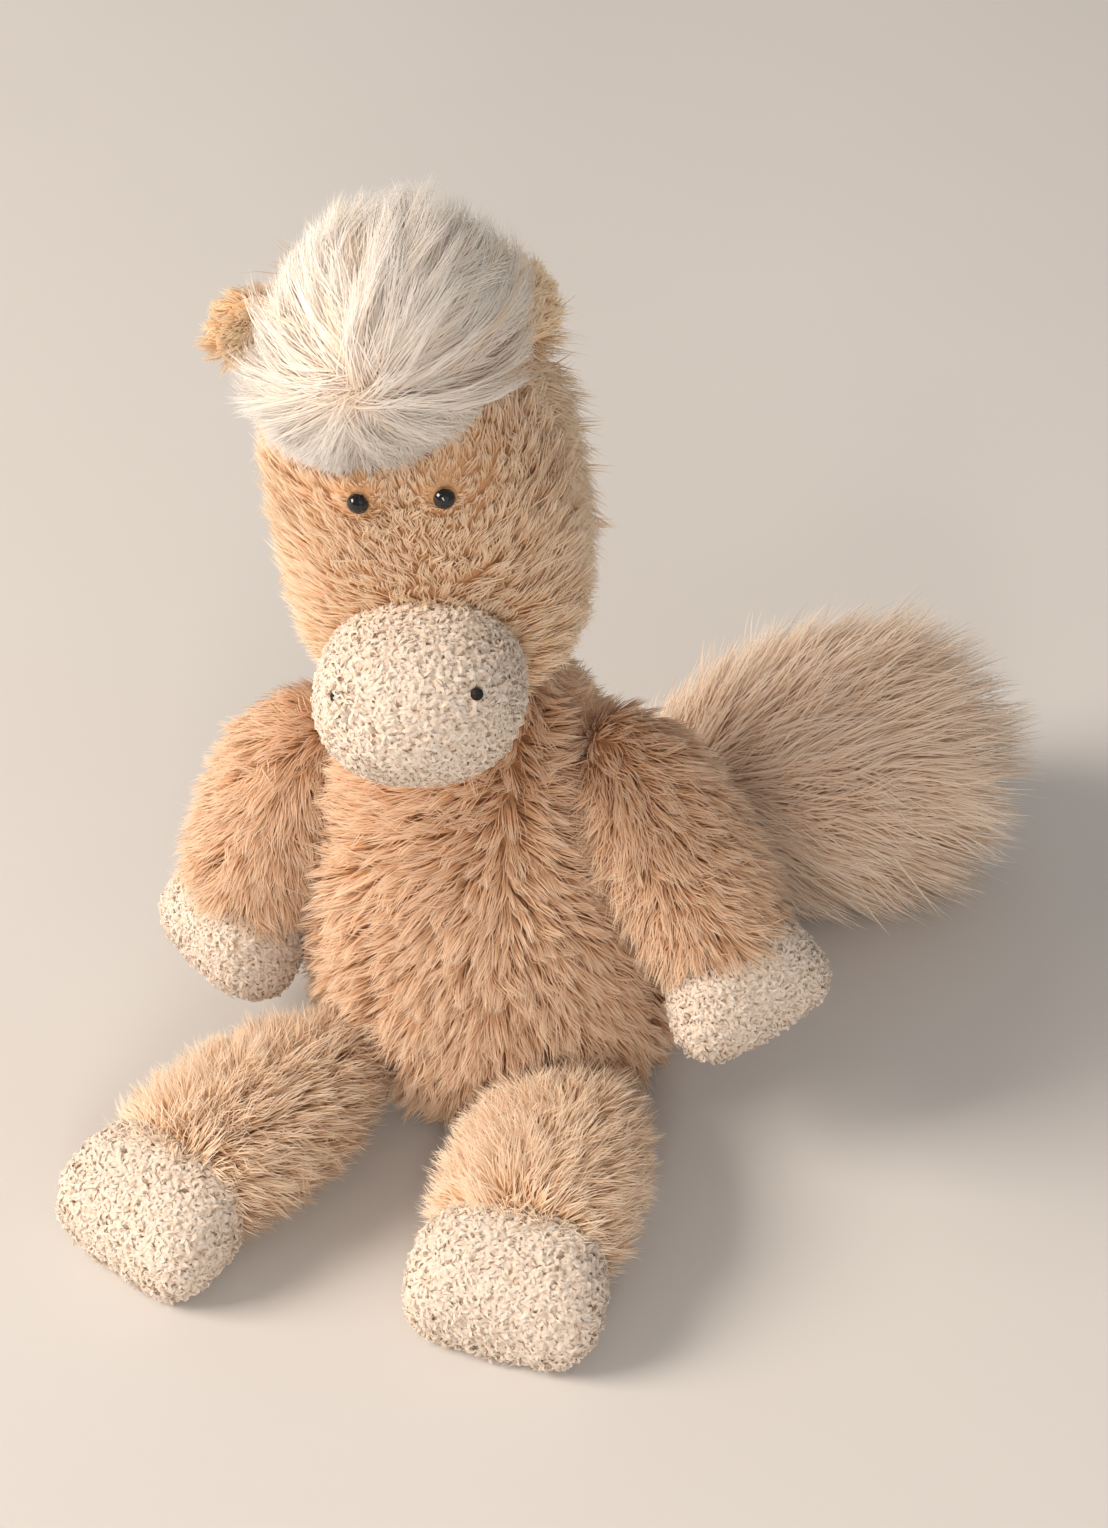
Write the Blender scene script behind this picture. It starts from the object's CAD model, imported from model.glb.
"""Looks of a sitting plush horse: long-pile covers, curly-pile hooves and muzzle, white hair, eyes and tail.

Lengths are in metres. The toy faces -Y and sits with the middle of its seat at the origin.
"""
import math

import bmesh
import bpy
import numpy as np
from mathutils import Matrix, Vector
from mathutils.bvhtree import BVHTree
from mathutils.kdtree import KDTree


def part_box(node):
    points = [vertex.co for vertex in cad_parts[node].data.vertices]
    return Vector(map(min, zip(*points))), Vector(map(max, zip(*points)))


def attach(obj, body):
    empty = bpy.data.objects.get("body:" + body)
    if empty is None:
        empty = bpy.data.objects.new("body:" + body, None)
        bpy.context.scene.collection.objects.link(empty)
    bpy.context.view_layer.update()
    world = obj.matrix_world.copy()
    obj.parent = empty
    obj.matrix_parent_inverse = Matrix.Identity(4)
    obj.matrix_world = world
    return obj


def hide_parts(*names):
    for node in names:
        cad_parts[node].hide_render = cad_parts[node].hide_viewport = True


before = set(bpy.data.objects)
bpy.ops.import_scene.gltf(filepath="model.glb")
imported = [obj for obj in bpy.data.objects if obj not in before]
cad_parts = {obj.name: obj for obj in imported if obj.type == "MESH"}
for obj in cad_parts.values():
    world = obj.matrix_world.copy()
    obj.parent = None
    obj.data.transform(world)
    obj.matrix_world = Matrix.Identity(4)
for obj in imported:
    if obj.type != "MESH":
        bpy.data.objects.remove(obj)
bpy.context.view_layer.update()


# Camera, lamps and floor
# The camera stands where the photograph was taken from: above the toy and a little to its left.
# One large soft lamp on the toy's right gives the shade, and the pale floor is a plain sheet.
def srgb(red, green, blue):
    """A colour written as a picture has it, made linear for a shader."""
    return (*(((c / 255 + 0.055) / 1.055) ** 2.4 if c > 10 else c / 255 / 12.92 for c in (red, green, blue)), 1)


lens = bpy.data.cameras.new("camera")
lens.lens = 72.19
lens.clip_start = 0.01
camera = bpy.data.objects.new("camera", lens)
camera.location = (0.18718, -0.73456, 0.70300)
camera.rotation_euler = (math.radians(52), 0, math.radians(13))
bpy.context.scene.collection.objects.link(camera)
bpy.context.scene.camera = camera
bpy.context.scene.view_settings.view_transform = "Standard"


def soft_lamp(name, place, size, power, colour):
    """A square soft lamp that looks at the middle of the toy."""
    lamp = bpy.data.lights.new(name, "AREA")
    lamp.size = size
    lamp.energy = power
    lamp.color = srgb(*colour)[:3]
    piece = bpy.data.objects.new(name, lamp)
    piece.location = place
    piece.rotation_euler = (Vector(place) - Vector((0, 0, 0.13))).to_track_quat("Z", "Y").to_euler()
    bpy.context.scene.collection.objects.link(piece)


soft_lamp("key_lamp", (-2.25, -0.85, 1.74), 1.40, 98.0, (255, 243, 230))
soft_lamp("fill_lamp", (0.90, -1.10, 0.75), 0.90, 1.2, (255, 240, 230))
soft_lamp("catch_lamp", (0.25, -1.45, 0.66), 0.38, 7.0, (255, 248, 242))


class Wire:
    """A node's socket. Sums written with it add Math nodes."""

    def __init__(self, finish, socket):
        self.finish = finish
        self.socket = socket

    def maths(self, operation, *values):
        return self.finish.node("ShaderNodeMath", {"operation": operation}, dict(enumerate(values)))

    def __add__(self, other):
        return self.maths("ADD", self, other)

    def __sub__(self, other):
        return self.maths("SUBTRACT", self, other)

    def __rsub__(self, other):
        return self.maths("SUBTRACT", other, self)

    def __mul__(self, other):
        return self.maths("MULTIPLY", self, other)

    def __truediv__(self, other):
        return self.maths("DIVIDE", self, other)

    def __pow__(self, other):
        return self.maths("POWER", self, other)

    __radd__ = __add__
    __rmul__ = __mul__


class Finish:
    """A material built from nodes round one Principled shader."""

    def __init__(self, name, **plain):
        self.material = bpy.data.materials.new(name)
        self.material.use_nodes = True
        self.tree = self.material.node_tree
        self.shader = self.tree.nodes["Principled BSDF"]
        for socket, value in plain.items():
            self.shader.inputs[socket.replace("_", " ")].default_value = value

    def node(self, kind, settings=None, sockets=None, output=0):
        """Add any node, with its settings first and then its sockets' values or links."""
        made = self.tree.nodes.new(kind)
        for name, value in (settings or {}).items():
            if name == "stops":
                while len(made.color_ramp.elements) < len(value):
                    made.color_ramp.elements.new(1)
                for element, (position, colour) in zip(made.color_ramp.elements, value):
                    element.position, element.color = position, colour
            else:
                setattr(made, name, value)
        for name, value in (sockets or {}).items():
            self.feed(made.inputs[name], value)
        return Wire(self, made.outputs[output])

    def feed(self, socket, value):
        """Link a wire to a socket, or set the socket's own value."""
        if isinstance(value, Wire):
            self.tree.links.new(value.socket, socket)
        else:
            socket.default_value = value

    def mix(self, share, first, second):
        """Mix two colours."""
        return self.node("ShaderNodeMix", {"data_type": "RGBA"}, {0: share, 6: first, 7: second}, output=2)

    def noise(self, scale, detail=2, **more):
        """Noise over the piece's own place, from 0 to 1."""
        place = self.node("ShaderNodeTexCoord", output="Object")
        return self.node("ShaderNodeTexNoise", {}, {"Vector": place, "Scale": scale, "Detail": detail, **more})

    def colour(self, value):
        self.feed(self.shader.inputs["Base Color"], value)
        return self

    def rough(self, value):
        self.feed(self.shader.inputs["Roughness"], value)
        return self

    def bump(self, height, distance, strength=1.0):
        """Raise the surface by a height that the nodes give."""
        normal = self.node("ShaderNodeBump", {}, {"Height": height, "Distance": distance, "Strength": strength})
        self.feed(self.shader.inputs["Normal"], normal)
        return self


floor_form = bmesh.new()
bmesh.ops.create_grid(floor_form, x_segments=2, y_segments=2, size=6)
floor_mesh = bpy.data.meshes.new("floor")
floor_form.to_mesh(floor_mesh)
floor_form.free()
floor = bpy.data.objects.new("floor", floor_mesh)
bpy.context.scene.collection.objects.link(floor)
paper = Finish("pale_paper", Roughness=0.9, Specular_IOR_Level=0.2)
paper.colour(paper.mix(paper.noise(9), srgb(213, 209, 205), srgb(216, 212, 208)))
floor_mesh.materials.append(paper.material)

world = bpy.data.worlds.new("studio")
world.use_nodes = True
bpy.context.scene.world = world
air = world.node_tree
light_path = air.nodes.new("ShaderNodeLightPath")
shade = air.nodes.new("ShaderNodeMix")
shade.data_type = "RGBA"
shade.inputs[6].default_value = (0.39, 0.375, 0.36, 1)
shade.inputs[7].default_value = srgb(232, 228, 224)
air.links.new(light_path.outputs["Is Camera Ray"], shade.inputs[0])
air.links.new(shade.outputs[2], air.nodes["Background"].inputs["Color"])


# Torso
# The body is a pear of long tan pile cloth over stuffing, sewn shut under the seat.
# Its pile is laid outward and down from a whorl high on the belly, and its tips are paler than its roots.
def ringed(name, rings, squareness=2, segments=24, swell=0.0015):
    """A closed, stuffed cloth form through oval rings, each a frame with its half width and half depth."""
    bm = bmesh.new()
    loops = []
    for place, half_width, half_depth in rings:
        verts = bmesh.ops.create_circle(bm, segments=segments, radius=1)["verts"]
        for v in verts:
            bow = (abs(v.co.x) ** squareness + abs(v.co.y) ** squareness) ** (1 / squareness)
            v.co = place @ Vector((v.co.x / bow * half_width, v.co.y / bow * half_depth, 0))
        loops.append(list({e for v in verts for e in v.link_edges}))
    for lower, upper in zip(loops, loops[1:]):
        bmesh.ops.bridge_loops(bm, edges=lower + upper)
    for end in (loops[0], loops[-1]):
        cap = bmesh.ops.edgeloop_fill(bm, edges=end)["faces"]
        bmesh.ops.poke(bm, faces=cap)
    bmesh.ops.recalc_face_normals(bm, faces=bm.faces)
    mesh = bpy.data.meshes.new(name)
    bm.to_mesh(mesh)
    bm.free()
    mesh.shade_smooth()
    piece = bpy.data.objects.new(name, mesh)
    bpy.context.scene.collection.objects.link(piece)
    piece.modifiers.new("rounding", "SUBSURF").levels = 1
    settle(piece)
    if swell:
        plump(piece, swell)
    return piece


def settle(piece):
    """Put the result of a piece's modifiers into its mesh."""
    bpy.context.view_layer.update()
    depsgraph = bpy.context.evaluated_depsgraph_get()
    piece.data = bpy.data.meshes.new_from_object(piece.evaluated_get(depsgraph))
    piece.modifiers.clear()


def plump(piece, cap):
    """Blow a cloth form up by pressure, as its stuffing does, with a cap on how far each point moves."""
    remade = piece.modifiers.new("remade", "REMESH")
    remade.mode = "VOXEL"
    remade.voxel_size = 0.004
    settle(piece)
    before = np.array([v.co for v in piece.data.vertices])
    cloth = piece.modifiers.new("pressure", "CLOTH")
    cloth.settings.use_pressure = True
    cloth.settings.uniform_pressure_force = 4
    cloth.settings.effector_weights.gravity = 0
    for step in range(1, 21):
        bpy.context.scene.frame_set(step)
    blown = piece.evaluated_get(bpy.context.evaluated_depsgraph_get())
    move = np.array([v.co for v in blown.data.vertices]) - before
    piece.modifiers.clear()
    move *= np.minimum(1, cap / np.maximum(np.linalg.norm(move, axis=1, keepdims=True), 1e-9))
    piece.data.vertices.foreach_set("co", (before + move).astype(np.float32).ravel())
    piece.modifiers.new("rounding", "SUBSURF").levels = 1
    settle(piece)
    piece.data.shade_smooth()


def frame_at(centre, along, side):
    """A frame at a point, with its Z along one direction and its X as near to another as it can be."""
    z = Vector(along).normalized()
    x = (Vector(side) - z * z.dot(Vector(side))).normalized()
    return Matrix.Translation(centre) @ Matrix((x, z.cross(x), z)).transposed().to_4x4()


def unit(vectors):
    """Each row of an array as a direction."""
    return vectors / np.maximum(np.linalg.norm(vectors, axis=-1, keepdims=True), 1e-9)


def laid(directions, outward):
    """Directions laid flat on a surface."""
    return unit(directions - outward * (directions * outward).sum(-1, keepdims=True))


def scattered(piece, spacing, rng):
    """Random points all over a piece, about one in each square of that spacing, and which way is out."""
    mesh = piece.data
    mesh.calc_loop_triangles()
    places = np.empty(len(mesh.vertices) * 3)
    mesh.vertices.foreach_get("co", places)
    outward = np.empty(len(mesh.vertices) * 3)
    mesh.vertices.foreach_get("normal", outward)
    corners = np.empty(len(mesh.loop_triangles) * 3, dtype=np.int32)
    mesh.loop_triangles.foreach_get("vertices", corners)
    places, outward, corners = places.reshape(-1, 3), outward.reshape(-1, 3), corners.reshape(-1, 3)
    a, b, c = (places[corners[:, k]] for k in range(3))
    area = np.linalg.norm(np.cross(b - a, c - a), axis=1) / 2
    chosen = corners[rng.choice(len(area), int(area.sum() / spacing ** 2), p=area / area.sum())]
    shares = rng.dirichlet((1, 1, 1), len(chosen))[:, :, None]
    return (places[chosen] * shares).sum(1), unit((outward[chosen] * shares).sum(1))


def room_beside(points, *nodes):
    """How far each point lies outside the nearest of some of the part's solids."""
    room = np.full(len(points), 1.0)
    for node in nodes:
        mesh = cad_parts[node].data
        tree = BVHTree.FromPolygons([v.co for v in mesh.vertices], [p.vertices for p in mesh.polygons])
        for number, point in enumerate(points):
            place, facing, _, distance = tree.find_nearest(point)
            inside = (Vector(point) - place).dot(facing) < 0
            room[number] = min(room[number], -distance if inside else distance)
    return room


def copies(name, rows, count):
    """A piece made of many copies of one flat strand with a pointed tip, and the strand's own vertices."""
    strand = bmesh.new()
    bmesh.ops.create_grid(strand, x_segments=1, y_segments=rows, size=0.5)
    tip = [v for v in strand.verts if v.co.y > 0.499]
    bmesh.ops.pointmerge(strand, verts=tip, merge_co=(0, 0.5, 0))
    mesh = bpy.data.meshes.new(name)
    strand.to_mesh(mesh)
    strand.free()
    shape = np.array([v.co for v in mesh.vertices])
    mesh.shade_smooth()
    piece = bpy.data.objects.new(name, mesh)
    bpy.context.scene.collection.objects.link(piece)
    row = piece.modifiers.new("copies", "ARRAY")
    row.use_relative_offset = False
    row.use_constant_offset = True
    row.count = count
    settle(piece)
    return piece, shape


def spread_on_map(piece, shape_size, across, along, shade):
    """Lay each copy on the piece's map: its shade from left to right, its root at the bottom, its tip on top."""
    mesh = piece.data
    layer = mesh.uv_layers.new(name="OFBake")
    corner = np.empty(len(mesh.loops), dtype=np.int32)
    mesh.loops.foreach_get("vertex_index", corner)
    copy, vertex = corner // shape_size, corner % shape_size
    u = 0.03 + 0.94 * np.clip(shade[copy], 0, 1) + across[vertex] * 0.02
    v = 0.03 + 0.94 * along[vertex]
    layer.data.foreach_set("uv", np.stack([u, v], 1).astype(np.float32).ravel())


def fur(name, roots, outward, flow, length, lean, body, finish, shade, width=0.00045, lock=10,
        gather=0.78, wave=0.12, droop=0.0, rows=3, unruly=0.36, seed=1, softness=0.55):
    """Hair on a cloth: flat strands that lean from upright towards the flow, gathered by locks at their tips."""
    rng = np.random.default_rng(seed)
    count = len(roots)
    across = np.cross(outward, flow)
    turn = rng.normal(0, unruly, (count, 1))
    flow = flow * np.cos(turn) + across * np.sin(turn)
    across = np.cross(outward, flow)
    length = (length * rng.uniform(0.66, 1.2, count))[:, None, None]
    start, end = (np.radians(angle + rng.normal(0, 8, count))[:, None, None] for angle in lean)
    end = np.where(np.abs(end - start) < 0.05, start + 0.05, end)
    sway = rng.normal(0, wave, count)[:, None, None]

    piece, shape = copies(name, rows, count)
    s, t = shape[:, 0], shape[:, 1] + 0.5

    def curve(up, along, side, t):
        turned = start + (end - start) * t
        rise = (np.sin(turned) - np.sin(start)) / (end - start)
        run = (np.cos(start) - np.cos(turned)) / (end - start)
        bent = length * (up * rise + along * run + side * sway * t * t)
        bent[:, :, 2] -= droop * length[:, :, 0] * t[0, :, :].T ** 2
        return roots[:, None, :] + bent

    steps = t[None, :, None]
    line = curve(outward[:, None, :], flow[:, None, :], across[:, None, :], steps)
    centres = rng.choice(count, max(1, count // lock), replace=False)
    tree = KDTree(len(centres))
    for number, centre in enumerate(centres):
        tree.insert(roots[centre], number)
    tree.balance()
    guide = centres[[tree.find(root)[1] for root in roots]]
    hold = gather * rng.uniform(0.6, 1.2, count) * np.where(rng.random(count) < 0.12, 0.2, 1)
    line += (line[guide] - line) * np.clip(hold[:, None, None] * steps ** 0.9, 0, 0.96)
    shade = 0.45 * shade + 0.55 * shade[guide]

    ahead = unit(line[:, -1] - line[:, 0])
    sideways = unit(np.cross(ahead, outward) + 1e-9)
    facing = np.cross(sideways, ahead)
    roll = np.clip(rng.normal(0, 0.5, (count, 1)), -1.2, 1.2)
    sideways = sideways * np.cos(roll) + facing * np.sin(roll)
    facing = np.cross(sideways, ahead)
    girth = np.interp(t, (0, 0.35, 0.7, 1), (0.7, 1, 0.72, 0)) * s
    wide = (width * rng.uniform(0.7, 1.3, count))[:, None, None]
    places = line + sideways[:, None, :] * girth[None, :, None] * wide
    places[:, :, 2] = np.maximum(places[:, :, 2], 0.0004 + 0.0006 * rng.random((count, 1)))
    piece.data.vertices.foreach_set("co", places.astype(np.float32).ravel())
    spread_on_map(piece, len(shape), s, t, shade)
    soft = unit(outward * softness + facing * (1 - softness))
    soft = np.repeat(soft, len(shape), axis=0)
    piece.data.normals_split_custom_set_from_vertices(soft.tolist())
    piece.data.materials.append(finish.material)
    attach(piece, body)
    return piece


def pile_finish(name, root, middle, tip, deep_root, deep_middle, deep_tip, roughness=0.62, sheen=0.25,
                glowing=0.27):
    """Hair that pales from root to tip, from the darkest strands on the map's left to the palest on its right."""
    finish = Finish(name, Sheen_Weight=sheen, Sheen_Roughness=0.45, Specular_IOR_Level=0.28)
    place = finish.node("ShaderNodeUVMap", {"uv_map": "OFBake"})
    split = finish.node("ShaderNodeSeparateXYZ", {}, {"Vector": place})
    shade = Wire(finish, split.socket.node.outputs["X"])
    along = Wire(finish, split.socket.node.outputs["Y"])
    pale = finish.node("ShaderNodeValToRGB", {"stops": [
        (0.04, srgb(*root)), (0.45, srgb(*middle)), (0.92, srgb(*tip))]}, {"Fac": along})
    deep = finish.node("ShaderNodeValToRGB", {"stops": [
        (0.04, srgb(*deep_root)), (0.55, srgb(*deep_middle)), (0.97, srgb(*deep_tip))]}, {"Fac": along})
    finish.colour(finish.mix(shade, deep, pale))
    finish.rough(roughness + 0.15 * (1 - along))
    glow = finish.node("ShaderNodeBsdfTranslucent", {}, {"Color": srgb(*tip)})
    blend = finish.node("ShaderNodeMixShader", {}, {0: glowing, 1: Wire(finish, finish.shader.outputs[0]), 2: glow})
    finish.feed(finish.tree.nodes["Material Output"].inputs["Surface"], blend)
    return finish


tan_fur = pile_finish("tan_fur", (204, 152, 110), (235, 190, 147), (252, 234, 212),
                      (152, 104, 72), (212, 160, 118), (243, 210, 176))
backing = Finish("pile_backing", Roughness=0.95, Specular_IOR_Level=0.1)
backing.colour(backing.mix(backing.noise(420, 3), srgb(168, 120, 84), srgb(198, 150, 108)))
backing.bump(backing.noise(900, 2), 0.0006)

torso_height = 0.146
torso_lean = 0.0145
pile_depth = 0.008


def torso_rings(inset):
    """The torso's rings, drawn in so that the pile stands on them."""
    rings = []
    heights = (0.012, 0.05, 0.16, 0.31, 0.48, 0.65, 0.80, 0.88, 0.925)
    girths = (0.80, 0.92, 0.99, 1.0, 0.95, 0.85, 0.72, 0.62, 0.54)
    for height, girth in zip(heights, girths):
        centre = (-torso_lean * height ** 2, 0.002 * height, torso_height * height)
        rings.append((Matrix.Translation(centre), 0.0635 * girth - inset, 0.059 * girth - inset))
    for angle in (0, 20, 40, 58):
        up, out = math.sin(math.radians(angle)), math.cos(math.radians(angle))
        radius = 0.030 - inset
        rings.append((Matrix.Translation((-torso_lean, 0.002, torso_height + radius * up)),
                      radius * out, radius * out))
    return rings


torso_skin = ringed("torso_skin", torso_rings(pile_depth), segments=32)
torso_skin.data.materials.append(backing.material)
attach(torso_skin, "torso")
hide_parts("torso_cover")

whorl = np.array((0.0102, -0.041, 0.1068))


def torso_flow(points, outward):
    """Away from the whorl on the belly, round the sides, and more and more downward below and behind it."""
    away = points - whorl
    round_body = np.stack([-points[:, 1], points[:, 0], np.zeros(len(points))], 1)
    side = np.sign(away[:, :1]) * laid(round_body, outward)
    reach = np.abs(away[:, :1])
    below = np.clip(-away[:, 2:], 0, None)
    sideways = reach / (reach + 0.45 * below + 0.006)
    behind = np.clip((points[:, 1:2] + 0.01) / 0.05, 0, 1)
    sideways = sideways * (1 - 0.8 * behind)
    down = np.array((0, 0, -1.0)) * (0.25 + 0.75 * np.clip(below / 0.05, 0, 1) + behind * 0.5)
    return laid(side * sideways + down, outward)


rng = np.random.default_rng(11)
roots, outward = scattered(torso_skin, 0.00078, rng)
kept = (outward[:, 2] > -0.75) | (roots[:, 2] > 0.02)
roots, outward = roots[kept], outward[kept]
room = room_beside(roots, "left_arm_cover", "right_arm_cover", "left_leg_cover", "right_leg_cover",
                   "tail_cover", "head_cover")
kept = (room > 0.009) | (roots[:, 2] > 0.105) | (rng.random(len(room)) < 0.35)
roots, outward, room = roots[kept], outward[kept], room[kept]
front = roots[:, 1] < 0.004
shade = rng.uniform(0.25, 1.0, len(roots))
for name, part in (("torso_front_fur", front), ("torso_back_fur", ~front)):
    fur(name, roots[part], outward[part], torso_flow(roots[part], outward[part]),
        np.full(part.sum(), 0.0155), (18, 66), "torso", tan_fur, shade[part], seed=3, lock=15,
        gather=0.86)


# Legs
# Each leg is a stuffed tube of the same pile cloth, sewn to the body at the hip, and lies along the floor.
# The pile is brushed off the top line to both sides, and a hoof of cream curly cloth closes the end.
def curls(name, roots, outward, body, finish, size=1.0, seed=1):
    """Curly pile: short flat hooks with pointed tips, that rise a little from the cloth and bend over."""
    rng = np.random.default_rng(seed)
    count = len(roots)
    piece, shape = copies(name, 4, count)
    s, t = shape[:, 0], shape[:, 1] + 0.5
    first = laid(rng.normal(size=(count, 3)), outward)[:, None, :]
    up = outward[:, None, :]
    second = np.cross(up, first)
    length = size * rng.uniform(0.0026, 0.0046, (count, 1, 1))
    bend = rng.uniform(0.8, 3.6, (count, 1, 1)) * rng.choice((-1, 1), (count, 1, 1))
    rise = size * rng.uniform(0.0005, 0.0016, (count, 1, 1)) + 0.0008 * (rng.random((count, 1, 1)) < 0.2)
    twist = rng.uniform(0, 2 * np.pi, (count, 1, 1))
    stack = rng.uniform(0.0001, 0.0009, (count, 1, 1))

    def middle(t):
        run = (np.sin(bend * t) * first + (1 - np.cos(bend * t)) * second) / bend
        lift = rise * np.sin(0.85 * np.pi * t) + 0.0002 * np.sin(8 * t + twist) + stack
        return roots[:, None, :] + length * run + up * lift

    steps = t[None, :, None]
    ahead = unit(middle(steps + 0.02) - middle(steps - 0.02))
    sideways = unit(np.cross(ahead, up) + 1e-9)
    facing = np.cross(sideways, ahead)
    roll = np.clip(rng.normal(0, 0.28, (count, 1, 1)), -0.6, 0.6)
    sideways = sideways * np.cos(roll) + facing * np.sin(roll)
    facing = np.cross(sideways, ahead)
    girth = np.interp(t, (0, 0.3, 0.65, 1), (0.7, 1, 0.8, 0)) * s
    places = middle(steps) + sideways * girth[None, :, None] * size * rng.uniform(0.0009, 0.0015, (count, 1, 1))
    places[:, :, 2] = np.maximum(places[:, :, 2], 0.0004)
    piece.data.vertices.foreach_set("co", places.astype(np.float32).ravel())
    spread_on_map(piece, len(shape), s, t, rng.random(count))
    soft = unit(up * 0.45 + facing * 0.55)
    piece.data.normals_split_custom_set_from_vertices(soft.reshape(-1, 3).tolist())
    piece.data.materials.append(finish.material)
    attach(piece, body)
    return piece


curly = pile_finish("cream_curl", (240, 216, 192), (251, 239, 226), (254, 250, 244),
                    (232, 203, 175), (247, 230, 212), (252, 243, 232), roughness=0.72, sheen=0.2,
                    glowing=0.36)
curl_backing = Finish("curl_backing", Roughness=0.95, Specular_IOR_Level=0.1)
curl_backing.colour(curl_backing.mix(curl_backing.noise(600, 3), srgb(234, 208, 178), srgb(246, 226, 202)))
curl_backing.bump(curl_backing.noise(1400, 2), 0.0008)

leg_fur = pile_finish("leg_fur", (218, 172, 130), (245, 208, 168), (255, 243, 226),
                      (182, 134, 98), (230, 184, 142), (249, 223, 192))
for side, sign, length, hip_angle, leg_angle in (("left", 1, 0.071, 40, -3), ("right", -1, 0.077, 42, 28)):
    hip = Vector((sign * 0.058 * math.sin(math.radians(hip_angle)), -0.058 * math.cos(math.radians(hip_angle)), 0.0213))
    along = Vector((sign * math.sin(math.radians(leg_angle)), -math.cos(math.radians(leg_angle)), 0))
    place = frame_at(hip, along, (0, 0, 1))
    rings = [(place @ Matrix.Translation((0, 0, length * step)),
              max(0.02075 * girth - pile_depth, 0.004), max(0.031 * girth - pile_depth, 0.004))
             for step, girth in ((0.02, 0.42), (0.13, 0.66), (0.28, 0.86), (0.48, 0.98), (0.68, 1.0),
                                 (0.86, 1.0), (0.97, 0.96), (1.04, 0.80))]
    skin = ringed(f"{side}_leg_skin", rings)
    skin.data.materials.append(backing.material)
    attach(skin, f"{side}_leg")
    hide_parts(f"{side}_leg_cover")

    rng = np.random.default_rng(21 + sign)
    roots, outward = scattered(skin, 0.00072, rng)
    lateral = np.array(Vector((0, 0, 1)).cross(along))
    off = (roots - np.array(hip)) @ lateral
    end = np.clip(((roots - np.array(hip)) @ np.array(along) - length + 0.018) / 0.016, 0, 1)[:, None]
    crest = np.clip(1.5 - np.abs(off) / 0.008, 0, 1)[:, None]
    flow = laid(lateral * np.clip(off / 0.014, -1, 1)[:, None] - np.array(along) * 0.55
                + (0, 0, 0.5) * np.clip(-outward @ np.array(along), 0, 1)[:, None]
                + rng.normal(0, 1, (len(roots), 3)) * (0.22 + 0.3 * crest), outward)
    fur(f"{side}_leg_fur", roots, outward, flow, np.full(len(roots), 0.0150), (20, 62), f"{side}_leg", leg_fur,
        np.maximum(rng.uniform(0.45, 1.0, len(roots)), 0.95 * end[:, 0]), seed=23 + sign, wave=0.16,
        gather=0.7, unruly=0.42)

    rings = []
    for step, wide, high in ((-0.12, 0.80, 0.9), (0.0, 0.86, 1.0), (0.2, 0.95, 1.0), (0.48, 1.0, 0.92),
                             (0.74, 1.0, 0.80), (0.92, 0.93, 0.66), (1.0, 0.80, 0.50)):
        half_height = 0.0178 * high
        centre = hip + along * (length + 0.029 * step)
        centre.z = half_height + 0.0006
        rings.append((frame_at(centre, along, Vector((0, 0, 1)).cross(along)), 0.030 * wide - 0.0012,
                      half_height - 0.0008))
    hoof = ringed(f"{side}_leg_hoof_pad", rings, squareness=3.4)
    hoof.data.materials.append(curl_backing.material)
    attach(hoof, f"{side}_leg")
    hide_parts(f"{side}_leg_hoof")
    roots, outward = scattered(hoof, 0.00082, rng)
    kept = (roots - np.array(hip)) @ np.array(along) > length - 0.003
    curls(f"{side}_leg_hoof_curls", roots[kept], outward[kept], f"{side}_leg", curly, size=1.12,
          seed=27 + sign)


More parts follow.
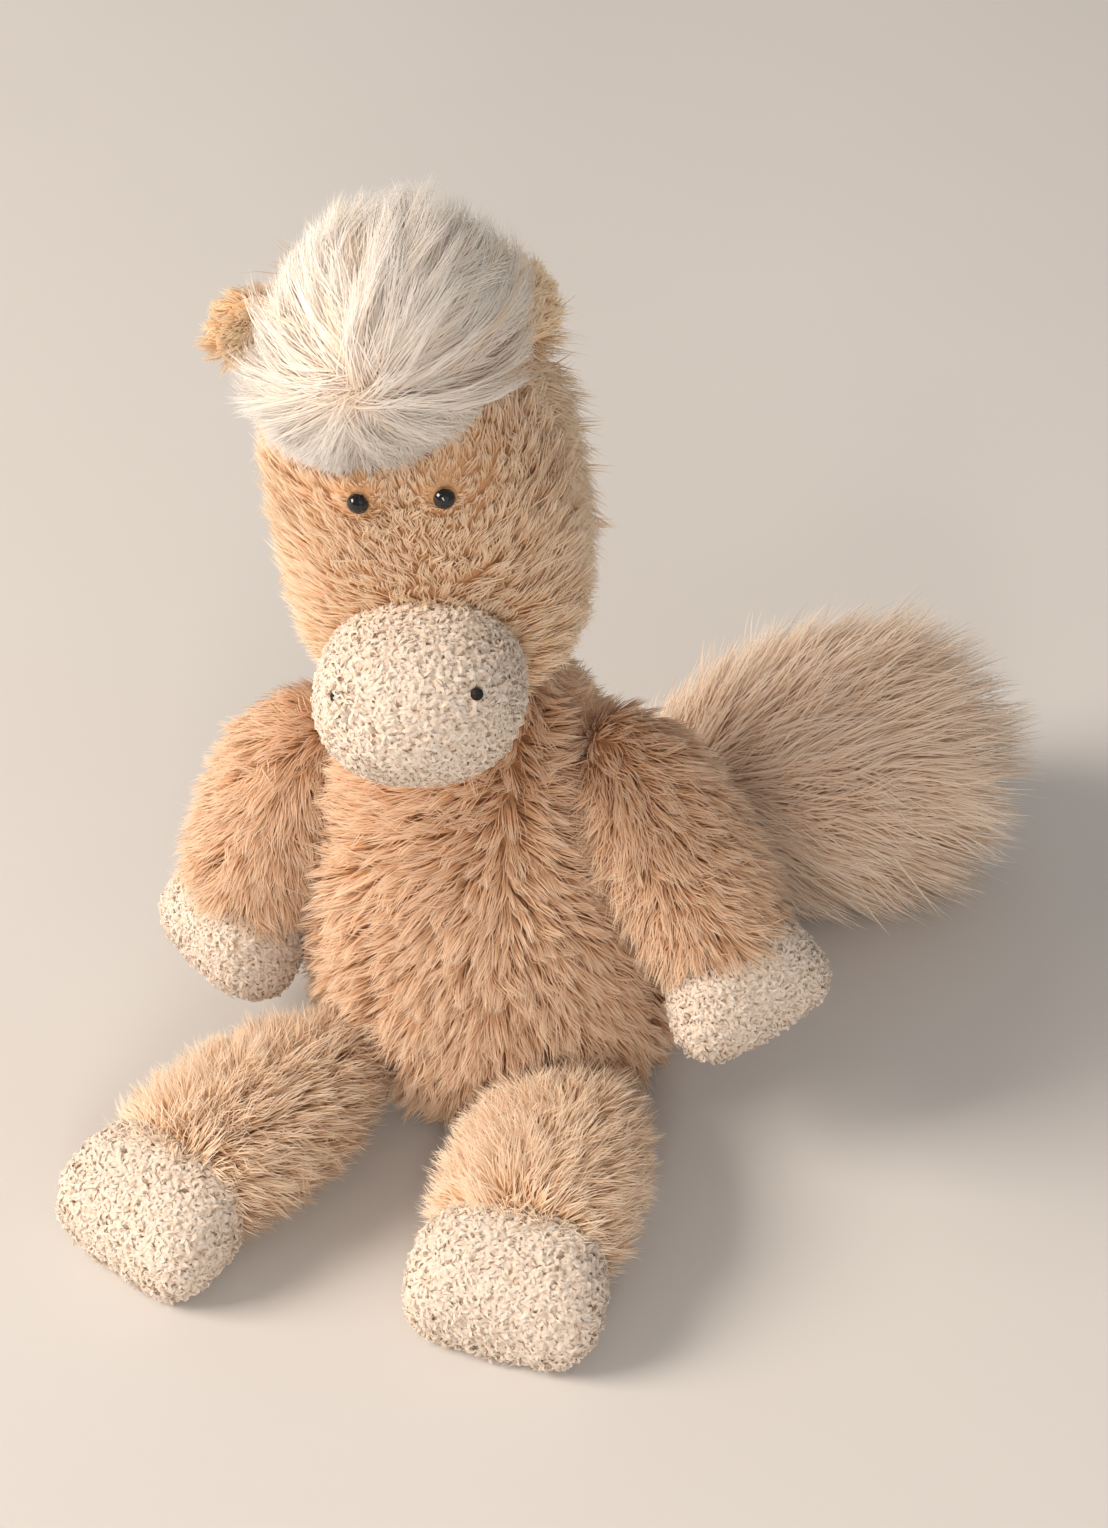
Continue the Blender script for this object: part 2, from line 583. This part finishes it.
# Arms
# The arms are longer, thinner tubes that hang from the shoulders, and their hooves are turned flat to the floor.
# Their pile is brushed down and off the front line, and hangs over the seam of the hoof.
for side, sign, length, out, forward in (("left", 1, 0.087, 0.54, 0.27), ("right", -1, 0.081, 0.33, 0.20)):
    height = 0.1325 + sign * 0.004
    lean = -torso_lean * (0.1325 / torso_height) ** 2
    shoulder = Vector((lean + sign * 0.0435, 0, height))
    along = Vector((sign * out, -forward, -math.sqrt(1 - out ** 2 - forward ** 2)))
    place = frame_at(shoulder, along, (sign, 0, 0))
    rings = [(place @ Matrix.Translation((0, 0, length * step)), max(0.0243 * girth - pile_depth, 0.004),
              max(0.0243 * girth - pile_depth, 0.004))
             for step, girth in ((0.02, 0.5), (0.1, 0.76), (0.24, 0.93), (0.42, 1.0), (0.62, 1.02),
                                 (0.82, 0.98), (0.98, 0.86))]
    skin = ringed(f"{side}_arm_skin", rings)
    skin.data.materials.append(backing.material)
    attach(skin, f"{side}_arm")
    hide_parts(f"{side}_arm_cover")

    rng = np.random.default_rng(31 + sign)
    roots, outward = scattered(skin, 0.00072, rng)
    lateral = np.array(along.cross(Vector((0, -1, 0.5))).normalized())
    off = (roots - np.array(shoulder)) @ lateral
    cap = np.clip(1.4 * (0.02 - (roots - np.array(shoulder)) @ np.array(along)) / 0.02, 0, 1)[:, None]
    down = np.array(along) + lateral * 0.75 * np.clip(off / 0.010, -1, 1)[:, None]
    flow = laid(down * (1 - cap) + (sign, -0.25, -0.1) * cap + rng.normal(0, 0.15, (len(roots), 3)), outward)
    cap = cap[:, 0]
    fur(f"{side}_arm_fur", roots, outward, flow, 0.0160 - 0.005 * cap, (20 + 28 * cap, 66 + 14 * cap), f"{side}_arm", tan_fur,
        rng.uniform(0.25, 1.0, len(roots)), seed=33 + sign)

    place = frame_at(shoulder, along, (sign, 0.6, 0))
    rings = []
    for step, wide, thick in ((-0.12, 0.74, 0.9), (0.0, 0.80, 1.0), (0.2, 0.9, 1.02), (0.5, 1.0, 1.0),
                              (0.78, 0.99, 0.86), (0.94, 0.86, 0.6), (1.0, 0.6, 0.3)):
        rings.append((place @ Matrix.Translation((0, 0, length + 0.027 * step)), 0.0265 * wide - 0.0012,
                      0.019 * thick - 0.0012))
    hoof = ringed(f"{side}_arm_hoof_pad", rings, squareness=2.7)
    hoof.data.materials.append(curl_backing.material)
    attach(hoof, f"{side}_arm")
    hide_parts(f"{side}_arm_hoof")
    roots, outward = scattered(hoof, 0.00082, rng)
    kept = (roots - np.array(shoulder)) @ np.array(along) > length - 0.003
    curls(f"{side}_arm_hoof_curls", roots[kept], outward[kept], f"{side}_arm", curly, seed=37 + sign)


# Head
# The head is a tall block of the pile cloth, clipped shorter on the face, set on the neck and turned a little.
# The pile runs away from the muzzle over the face and cheeks, and down behind.
neck = Vector((-torso_lean, 0.002, torso_height))
head_place = Matrix.Translation(neck) @ Matrix.Rotation(math.radians(8), 4, "Z") @ Matrix.Rotation(math.radians(-5.5), 4, "Y")
head_turn = np.array(head_place.to_3x3())


def in_head(points):
    """Points as seen in the head's own frame."""
    return (points - np.array(neck)) @ head_turn


def head_aside(height):
    """How far the head's middle is bent to its right at a height."""
    return -0.009 * np.clip(height / 0.130, 0, None) ** 3


face_backing = Finish("face_backing", Roughness=0.95, Specular_IOR_Level=0.1)
face_backing.colour(face_backing.mix(face_backing.noise(420, 3), srgb(212, 164, 118), srgb(234, 190, 144)))
rings = []
for step, girth in ((0.02, 0.66), (0.05, 0.82), (0.10, 0.93), (0.22, 1.0), (0.42, 1.02), (0.60, 1.0), (0.72, 0.94),
                    (0.82, 0.82), (0.90, 0.66), (0.96, 0.45)):
    rings.append((head_place @ Matrix.Translation((head_aside(0.130 * step), 0, 0.004 + 0.122 * step)),
                  0.0435 * girth - 0.0046, 0.0435 * girth - 0.0046))
head_skin = ringed("head_skin", rings, squareness=2.3, segments=28)
eyes = np.array([in_head(np.array(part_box(f"{side}_eye"), dtype=float).mean(0)[None])[0] for side in ("left", "right")])
places = np.array([v.co for v in head_skin.data.vertices])
local = in_head(places)
near = np.linalg.norm((local[:, None] - eyes[None]) * (1, 0, 1), axis=2).min(1)
push = 0.0032 * np.clip(1.8 - near / 0.006, 0, 1) * (local[:, 1] < 0)
places -= push[:, None] * head_turn[:, 1]
head_skin.data.vertices.foreach_set("co", places.astype(np.float32).ravel())
head_skin.data.materials.append(face_backing.material)
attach(head_skin, "head")
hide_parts("head_cover")

rng = np.random.default_rng(41)
roots, outward = scattered(head_skin, 0.00082, rng)
local = in_head(roots)
face = np.clip((-local[:, 1] + 0.006) / 0.024, 0, 1)
away = np.stack([local[:, 0] * 0.8, np.zeros(len(local)), local[:, 2] - 0.026], 1)
away /= np.linalg.norm(away, axis=1, keepdims=True)
behind = np.stack([0.5 * np.sign(local[:, 0]), 0.4 + 0 * local[:, 0], -1 + 0 * local[:, 0]], 1)
flow = laid((away * face[:, None] + behind * (1 - face[:, None]) * 0.7) @ head_turn.T
            + rng.normal(0, 0.16, (len(roots), 3)), outward)
room = room_beside(roots, "muzzle_cover")
corner = np.clip((local[:, 0] - 0.02) / 0.01, 0, 1) * np.clip(local[:, 1] / 0.02, 0, 1) * np.clip(local[:, 2] / 0.09, 0, 1)
reach = 0.0098 + 0.0052 * np.clip(1.3 * np.abs(local[:, 0]) / 0.04 - 0.3 * face, 0, 1) + 0.007 * corner
reach = np.minimum(reach, np.clip(room * 1.6, 0.005, None))
clear = np.full(len(roots), 1.0)
for eye in eyes:
    aside = (local - eye) * (1, 0, 1)
    distance = np.where(local[:, 1] < 0, np.linalg.norm(aside, axis=1), 1.0)
    near = np.clip(1.4 - distance / 0.005, 0, 1)[:, None]
    flow = laid(flow * (1.2 - near) + aside @ head_turn.T / 0.005 * near, outward)
    clear = np.minimum(clear, distance)
reach = np.minimum(reach, 0.0042 + 0.55 * np.clip(clear - 0.0055, 0, None))
covered = room_beside(roots, "forelock") < -0.010
under_mane = (local[:, 1] > 0.012) & (np.abs(local[:, 0] - head_aside(local[:, 2])) < 0.020)
kept = ~covered & ((room > 0.001) | (rng.random(len(room)) < 0.3)) & (~under_mane | (rng.random(len(room)) < 0.4))
rim = kept & (clear < 0.0048)
kept &= clear > 0.0042
brow = np.clip(1.2 - clear / 0.016, 0, 1)
shade = np.clip(rng.uniform(0.3, 1.0, len(roots)) - 0.15 * brow, 0, 1)
face_fur = pile_finish("face_fur", (236, 194, 154), (249, 217, 180), (255, 245, 228),
                       (210, 164, 126), (237, 197, 155), (251, 228, 197))
fur("head_fur", roots[kept], outward[kept], flow[kept], reach[kept], (42, 76), "head", face_fur,
    shade[kept], seed=43, width=0.00047, lock=12, gather=0.7, wave=0.14, unruly=0.34)
fur("eye_rim_fur", roots[rim], outward[rim], flow[rim], np.where(clear[rim] < 0.0030, 0.0016, 0.0034), (12, 50),
    "head", face_fur, shade[rim], seed=45, width=0.00048, lock=6, gather=0.3, wave=0.1, unruly=0.2)

# Muzzle
# The muzzle is a cup of cream curly cloth, stuffed and sewn on to the face, with two nostrils stitched in black thread.
rings = []
for step, girth in ((0.0, 0.9), (0.2, 0.97), (0.42, 1.0), (0.62, 0.97), (0.79, 0.83), (0.91, 0.58), (0.985, 0.26)):
    centre = (0, -(0.036 + 0.0478 * step), 0.0300)
    rings.append((head_place @ frame_at(centre, (0, -1, 0), (1, 0, 0)), 0.030 * girth - 0.0008, 0.0232 * girth - 0.0014))
muzzle = ringed("muzzle_pad", rings, squareness=2.4)
muzzle.data.materials.append(curl_backing.material)
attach(muzzle, "head")
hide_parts("muzzle_cover")
rng = np.random.default_rng(51)
roots, outward = scattered(muzzle, 0.00083, rng)
kept = room_beside(roots, "muzzle_cover") > -0.004
stitches = [np.array((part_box(f"{side}_nostril")[0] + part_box(f"{side}_nostril")[1]) / 2) for side in ("left", "right")]
for stitch, clear in zip(stitches, (0.0024, 0.0)):
    kept &= np.linalg.norm(roots - stitch, axis=1) > clear
curls("muzzle_curls", roots[kept], outward[kept], "head", curly, size=1.1, seed=53)
over = laid(roots - stitches[1], outward) * np.linalg.norm(roots - stitches[1], axis=1)[:, None]
aside = over @ head_turn[:, 0]
over = (np.linalg.norm(over, axis=1) < 0.0048) & (outward @ head_turn[:, 1] < 0) & (np.abs(aside - 0.0002) > 0.0006)
over &= np.linalg.norm(roots - stitches[1], axis=1) < 0.008
curls("nostril_curls", roots[over] + outward[over] * 0.0022, outward[over], "head", curly, seed=57)

thread = Finish("black_thread", Roughness=0.7, Specular_IOR_Level=0.35)
thread.colour(thread.mix(thread.noise(2600, 1), srgb(14, 12, 12), srgb(34, 29, 28)))
thread.bump(thread.noise(1100, 1), 0.0008)

# Eyes
# Each eye is a glossy black dome of moulded plastic on a shank, locked by a washer behind the face cloth.
eye_gloss = Finish("eye_gloss", Coat_Weight=0.35, Coat_Roughness=0.03)
eye_gloss.colour(eye_gloss.mix(eye_gloss.noise(300), srgb(3, 3, 3), srgb(8, 7, 6)))
eye_gloss.rough(0.04 + 0.04 * eye_gloss.noise(900))
washer_plastic = Finish("washer_plastic", Specular_IOR_Level=0.4)
washer_plastic.colour(washer_plastic.mix(washer_plastic.noise(250), srgb(214, 214, 210), srgb(228, 228, 224)))
washer_plastic.rough(0.42 + 0.2 * washer_plastic.noise(700))
for side in ("left", "right"):
    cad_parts[f"{side}_eye"].data.materials[0] = eye_gloss.material
    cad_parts[f"{side}_eye_washer"].data.materials[0] = washer_plastic.material
    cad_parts[f"{side}_nostril"].data.materials[0] = thread.material

# Ears
# Each ear is a flat furry leaf sewn to the side of the head, with a lining of shorter, paler pile in front.
ear_cloth = Finish("ear_cloth", Roughness=0.95, Specular_IOR_Level=0.1)
ear_cloth.colour(ear_cloth.mix(ear_cloth.noise(420, 3), srgb(232, 194, 150), srgb(246, 214, 172)))
lining_fur = pile_finish("lining_fur", (244, 204, 158), (252, 224, 184), (255, 246, 226),
                         (222, 176, 130), (244, 206, 160), (252, 232, 200))
tilt = math.radians(30)
for side, sign, sweep, seam in (("left", 1, 64, (0.001453, 0.012321, 0.262066)),
                                ("right", -1, -30, (-0.065796, 0.002869, 0.255527))):
    line = head_place.to_3x3() @ Vector((-sign * math.sin(tilt), 0, math.cos(tilt)))
    turn = Matrix.Rotation(math.radians(sign * sweep), 3, line) @ head_place.to_3x3()
    way = turn @ Vector((sign * math.cos(tilt), 0, math.sin(tilt)))
    front = np.array(turn @ Vector((0, -1, 0)))
    place = frame_at(seam, way, line)
    for part, narrow, thin, node, ahead in (("back", 0.0022, 0.0022, "ear_back", -0.0006),
                                            ("lining", 0.0040, 0.0030, "ear_lining", 0.0014)):
        rings = []
        for step, wide, thick in ((-0.06, 0.62, 0.5), (0.0, 0.8, 0.8), (0.3, 0.98, 1.0), (0.58, 1.0, 0.95),
                                  (0.8, 0.82, 0.8), (0.9, 0.56, 0.6)):
            offset = Matrix.Translation(front * ahead)
            rings.append((offset @ place @ Matrix.Translation((0, 0, 0.0190 * step)),
                          0.0145 * wide - narrow, 0.00475 * thick - thin))
        skin = ringed(f"{side}_ear_{part}_skin", rings, segments=16, swell=0)
        skin.data.materials.append(ear_cloth.material)
        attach(skin, f"{side}_ear")
        "tan_pile" if part == "back" else "short_pile"
        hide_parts(f"{side}_{node}")
        rng = np.random.default_rng(61 + sign)
        roots, outward = scattered(skin, 0.00048, rng)
        faces_front = outward @ front
        kept = faces_front < 0.45 if part == "back" else faces_front > 0.1
        roots, outward = roots[kept], outward[kept]
        flow = laid(np.array(way) + rng.normal(0, 0.35, (len(roots), 3)), outward)
        if part == "back":
            fur(f"{side}_ear_fur", roots, outward, flow, np.full(len(roots), 0.0086 + sign * 0.0018), (22, 60),
                f"{side}_ear", lining_fur, rng.uniform(0.2, 1.0, len(roots)), width=0.0004, seed=63 + sign)
        else:
            fur(f"{side}_ear_lining_fur", roots, outward, flow, np.full(len(roots), 0.0056 + sign * 0.0008),
                (34, 70), f"{side}_ear", lining_fur, rng.uniform(0.5, 1.0, len(roots)), width=0.0004,
                wave=0.3, seed=65 + sign)


# Forelock
# A panel of long white hair sewn over the forehead and crown. It opens from a whorl low on its front and is
# brushed outward all round, with a few tan streaks, so that its tips hang over the brow and the ears.
def stroked(name, place, halves, pole, locks, strands, length, body, finish, shade, rows=6, width=0.00034,
            spread=70, lift=0.07, swirl=0.8, seed=1):
    """Long hair brushed over a dome in locks, away from a whorl. Each lock narrows to its tip and lifts off there."""
    rng = np.random.default_rng(seed)
    count = locks * strands
    pole = unit(np.array(pole))
    first = unit(np.cross(pole, (0.0, 1.0, 0.0)))
    second = np.cross(pole, first)
    heading = rng.uniform(0, 2 * np.pi, (locks, 1))
    radial = first * np.cos(heading) + second * np.sin(heading)
    down = np.clip(-((radial * halves) @ np.array(place.to_3x3()).T)[:, 2:] / 0.03, 0, 1)
    far = np.radians(spread) * rng.random((locks, 1)) ** 0.6 * (1 - 0.6 * down)
    rooted = pole * np.cos(far) + radial * np.sin(far)
    ahead = radial * np.cos(far) - pole * np.sin(far)
    beside = np.cross(rooted, ahead)
    turn = swirl * np.exp(-far / 0.25) * rng.normal(0.4, 1.2, (locks, 1)) + rng.normal(0, 0.16, (locks, 1))
    turn += 0.38 * np.sin(5 * rooted[:, :1] + 2) * np.cos(4.5 * rooted[:, 2:] + 0.6)
    ahead = ahead * np.cos(turn) + beside * np.sin(turn)
    beside = np.cross(rooted, ahead)
    ends = (unit(rooted + ahead) * halves) @ np.array(place.to_3x3()).T
    bottom = np.clip(-ends[:, 2] / 0.025, 0, 1)
    length = length * (1 - 0.34 * np.maximum(bottom, down[:, 0]))
    corner = np.clip(ends[:, 0] / 0.03, 0, 1) * np.clip(ends[:, 2] / 0.03, 0, 1)
    shade = shade(unit(rooted + ahead), rng)

    def each(values):
        return np.repeat(values, strands, axis=0).reshape(count, 1, -1)

    rooted, ahead, beside = each(rooted), each(ahead), each(beside)
    reach = each(length * rng.uniform(0.6, 1.2, locks)) * rng.uniform(0.8, 1.1, (count, 1, 1)) / np.mean(halves)
    sway = each(rng.normal(0, 0.10, locks)) + rng.normal(0, 0.045, (count, 1, 1))
    low = each(rng.uniform(0.80, 0.93, locks)) + rng.normal(0, 0.02, (count, 1, 1))
    proud = rng.random(locks) < 0.34
    flare = np.where(proud, rng.uniform(0.8, 3.0, locks), rng.normal(-0.1, 0.7, locks))
    flare = flare * (1 - 0.5 * bottom) + 0.3 * bottom - 1.3 * corner
    high = each(1 + lift * flare) + rng.normal(0, 0.022, (count, 1, 1))
    hold = np.clip(each(np.where(proud, 0.92, rng.uniform(0.3, 0.8, locks))) + rng.normal(0, 0.1, (count, 1, 1)), 0, 0.95)
    offset = ahead * rng.normal(0, 0.06, (count, 1, 1)) + beside * rng.normal(0, 0.065, (count, 1, 1))
    shade = np.clip(0.65 * np.repeat(shade, strands) + 0.35 * rng.random(count), 0, 1)

    piece, shape = copies(name, rows, count)
    s, t = shape[:, 0], shape[:, 1] + 0.5
    steps = t[None, :, None]
    way = rooted * np.cos(reach * steps) + ahead * np.sin(reach * steps)
    way = unit(way + beside * sway * steps ** 2 + offset * (1 - hold * steps ** 0.8))
    line = way * halves * (low + (high - low) * steps)
    line = line @ np.array(place.to_3x3()).T
    out = unit(line)
    line[:, :, 2] *= np.where(line[:, :, 2] < 0, 0.87, 1)
    line += np.array(place.translation)
    ahead = unit(np.gradient(line, axis=1))
    ahead = unit(line[:, -1:] - line[:, :1]) * 0.5 + ahead * 0.5
    sideways = unit(np.cross(ahead, out) + 1e-9)
    facing = unit(np.cross(sideways, ahead))
    roll = np.clip(rng.normal(0, 0.5, (count, 1, 1)), -1.2, 1.2)
    sideways = sideways * np.cos(roll) + facing * np.sin(roll)
    facing = unit(np.cross(sideways, ahead))
    girth = np.interp(t, (0, 0.3, 0.7, 1), (0.7, 1, 0.7, 0)) * s
    places = line + sideways * girth[None, :, None] * (width * rng.uniform(0.6, 1.4, (count, 1, 1)))
    piece.data.vertices.foreach_set("co", places.astype(np.float32).ravel())
    spread_on_map(piece, len(shape), s, t, shade)
    soft = unit(out * 0.82 + facing * 0.18)
    piece.data.normals_split_custom_set_from_vertices(soft.reshape(-1, 3).tolist())
    piece.data.materials.append(finish.material)
    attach(piece, body)
    return piece


white_fur = pile_finish("white_fur", (251, 236, 220), (255, 249, 243), (255, 253, 249),
                        (232, 194, 152), (247, 220, 186), (253, 240, 220), roughness=0.5, sheen=0.6, glowing=0.2)
forelock_halves = np.array((0.0355, 0.030, 0.0475))
forelock_place = head_place @ Matrix.Translation((head_aside(0.1125) + 0.0035, -0.022, 0.126))
forelock_place @= Matrix.Rotation(math.radians(42), 4, "Y")
forelock_whorl = np.array(forelock_place.inverted() @ Vector((-0.0275, -0.0545, 0.2665))) / forelock_halves
core = bmesh.new()
bmesh.ops.create_uvsphere(core, u_segments=24, v_segments=16, radius=1)
place = forelock_place @ Matrix.Diagonal((*(forelock_halves * 0.66), 1))
bmesh.ops.transform(core, matrix=place, verts=core.verts)
core_mesh = bpy.data.meshes.new("forelock_panel")
core.to_mesh(core_mesh)
core.free()
core_mesh.shade_smooth()
panel = bpy.data.objects.new("forelock_panel", core_mesh)
bpy.context.scene.collection.objects.link(panel)
panel_cloth = Finish("panel_cloth", Roughness=0.9, Specular_IOR_Level=0.1)
panel_cloth.colour(panel_cloth.mix(panel_cloth.noise(500), srgb(232, 212, 184), srgb(246, 234, 216)))
core_mesh.materials.append(panel_cloth.material)
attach(panel, "head")
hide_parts("forelock")


def forelock_shade(ways, rng):
    """Mostly white, with scattered tan streaks, and tanner towards the crown."""
    streaks = np.where(rng.random(len(ways)) < 0.08, rng.uniform(0.0, 0.4, len(ways)), rng.uniform(0.86, 1.0, len(ways)))
    return streaks * (1 - 0.9 * np.clip(ways[:, 0] * 0.8 + ways[:, 1] - 0.15, 0, 1))


stroked("forelock_under_hair", forelock_place, forelock_halves * 0.91, forelock_whorl, 740, 22, 0.028, "head", white_fur,
        forelock_shade, rows=3, spread=165, lift=0.04, seed=72)
stroked("forelock_hair", forelock_place, forelock_halves * 0.88, forelock_whorl, 1060, 26, 0.036, "head", white_fur,
        forelock_shade, rows=4, width=0.00031, spread=82, lift=0.12, seed=71)

# Mane
# A strip of long tan and cream hair down the back of the head, behind the forelock. Its tufts stand out sideways.
mane_fur = pile_finish("mane_fur", (206, 158, 112), (240, 202, 158), (253, 238, 216),
                       (160, 112, 74), (214, 164, 118), (244, 212, 174), roughness=0.55, sheen=0.3)
rng = np.random.default_rng(81)
roots, outward = scattered(head_skin, 0.00066, rng)
local = in_head(roots)
across = local[:, 0] - head_aside(local[:, 2])
kept = (local[:, 1] > 0.008) & (np.abs(across) < 0.024) & (local[:, 2] > 0.02)
roots, outward, local, across = roots[kept], outward[kept], local[kept], across[kept]
upward = 1.8 * np.clip((local[:, 2] - 0.095) / 0.025, 0, 1) - 0.7
flow = laid(np.stack([across / 0.022, 0.5 + 0 * across, upward], 1) @ head_turn.T
            + rng.normal(0, 0.2, (len(roots), 3)), outward)
mane_hair = fur("mane_hair", roots, outward, flow, 0.024 + 0.006 * rng.random(len(roots)), (16, 66), "head",
                mane_fur, rng.uniform(0.2, 1.0, len(roots)), rows=5, width=0.0006, lock=16,
                gather=0.75, seed=83)
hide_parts("mane")

# Tail
# The tail is a bushy switch of long cream hair on a thin stuffed core, sewn on low behind, and it lies on the floor.
tail_angle = math.radians(14)
tail_root = Vector((0.058 * math.sin(tail_angle), 0.058 * math.cos(tail_angle), 0.034))
spot = tail_root.copy()
rings, before, tail_line = [], 0, []
for step, girth in ((0.02, 0.30), (0.1, 0.42), (0.22, 0.68), (0.38, 0.92), (0.55, 1.0), (0.68, 0.9), (0.74, 0.6)):
    bend = math.radians(36 - 17 * (before + step) / 2)
    way = Vector((math.cos(bend), math.sin(bend), 0))
    spot = spot + way * 0.156 * (step - before)
    before = step
    centre = Vector((spot.x, spot.y, max(0.034, 0.0475 * min(girth, 1) + 0.0003) if step < 0.6 else 0.0475))
    rings.append((frame_at(centre, way, (0, 0, 1)), 0.024 * girth, 0.024 * girth))
    tail_line.append((np.array(centre), np.array(way)))
tail_core = ringed("tail_core_skin", rings, segments=20)
tail_core.data.materials.append(panel_cloth.material)
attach(tail_core, "tail")
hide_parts("tail_cover")
tail_fur = pile_finish("tail_fur", (236, 196, 162), (250, 224, 198), (255, 246, 234),
                       (208, 160, 126), (238, 198, 164), (251, 228, 202), roughness=0.52, sheen=0.3)
rng = np.random.default_rng(91)
roots, outward = scattered(tail_core, 0.00084, rng)
line_points = np.array([place for place, way in tail_line])
line_ways = np.array([way for place, way in tail_line])
nearest = np.argmin(np.linalg.norm(roots[:, None, :] - line_points[None], axis=2), axis=1)
flow = laid(line_ways[nearest] + rng.normal(0, 0.10, (len(roots), 3)), outward)
room = room_beside(roots, "torso_cover")
share = np.clip(((roots - np.array(tail_root)) @ np.array((0.88, 0.47, 0))) / 0.115, 0, 1)
end = np.clip((outward * line_ways[nearest]).sum(1), 0, 1)
reach = (0.030 + 0.021 * share) * (1 - 0.1 * end)
reach = np.minimum(reach, np.clip(room * 1.6, 0.008, None))
fur("tail_hair", roots, outward, flow, reach, (26 * (1 - end), 70 - 58 * end), "tail", tail_fur,
    rng.uniform(0.2, 1.0, len(roots)), rows=5, width=0.00064, lock=18, gather=0.6, wave=0.12, droop=0.06,
    unruly=0.34, seed=93)

# Stuffing and weight
# Loose polyester fibre fills each cover, and a pouch of beads weights the seat. The covers hide them.
fibre = Finish("stuffing_fibre", Roughness=0.95, Sheen_Weight=0.3)
fibre.colour(fibre.mix(fibre.noise(180, 4), srgb(226, 226, 222), srgb(246, 246, 244)))
fibre.bump(fibre.noise(700, 4), 0.0008)
pouch_cloth = Finish("pouch_cloth", Roughness=0.9)
pouch_cloth.colour(pouch_cloth.mix(pouch_cloth.noise(1500, 2), srgb(198, 190, 176), srgb(222, 216, 204)))
pouch_cloth.bump(pouch_cloth.noise(1800, 1), 0.0003)
for name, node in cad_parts.items():
    if name.endswith("filling"):
        node.data.materials[0] = fibre.material
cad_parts["bean_pouch"].data.materials[0] = pouch_cloth.material
